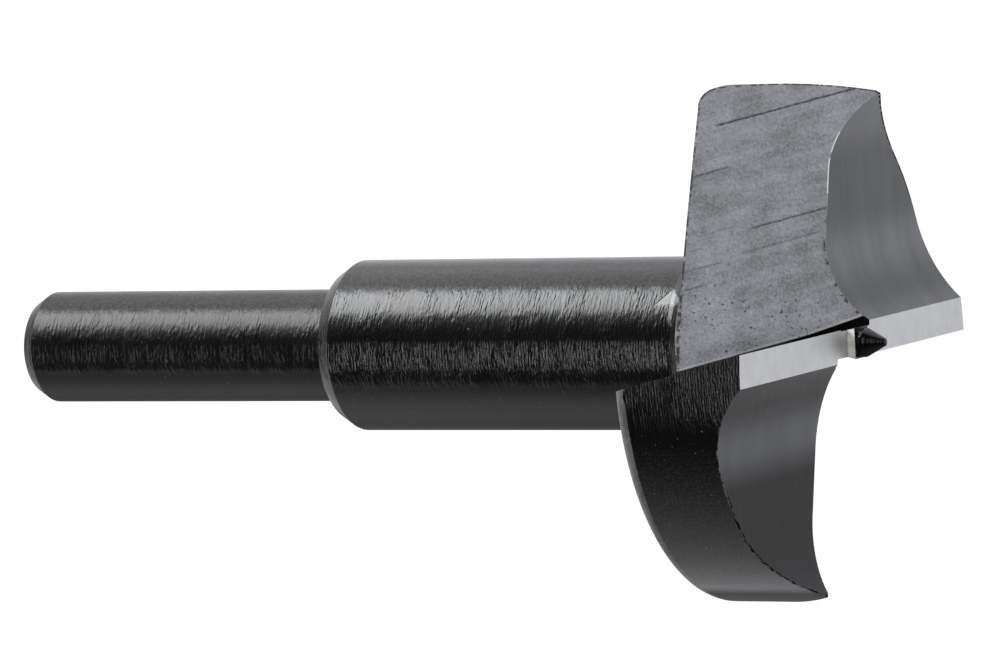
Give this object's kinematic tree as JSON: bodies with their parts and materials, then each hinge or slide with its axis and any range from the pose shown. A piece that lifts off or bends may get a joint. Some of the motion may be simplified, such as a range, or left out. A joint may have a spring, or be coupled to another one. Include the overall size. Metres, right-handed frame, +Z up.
{
  "type": "forstner bit",
  "caption": "Black steel forstner bit with a plain round shank, ground lips and a centre point, lying on its side.",
  "frame": {"origin": "on the table surface, under the middle of the bit's bounding box", "axes": "+X along the length towards the centre point, +Z up as the bit lies on a table"},
  "size_m": [0.0842, 0.045, 0.0356],
  "materials": {
    "black_steel": "black oxide over turned steel, with the lands ground bright"
  },
  "bodies": {
    "root": {"forstner_bit": "black_steel"}
  },
  "joints": []
}
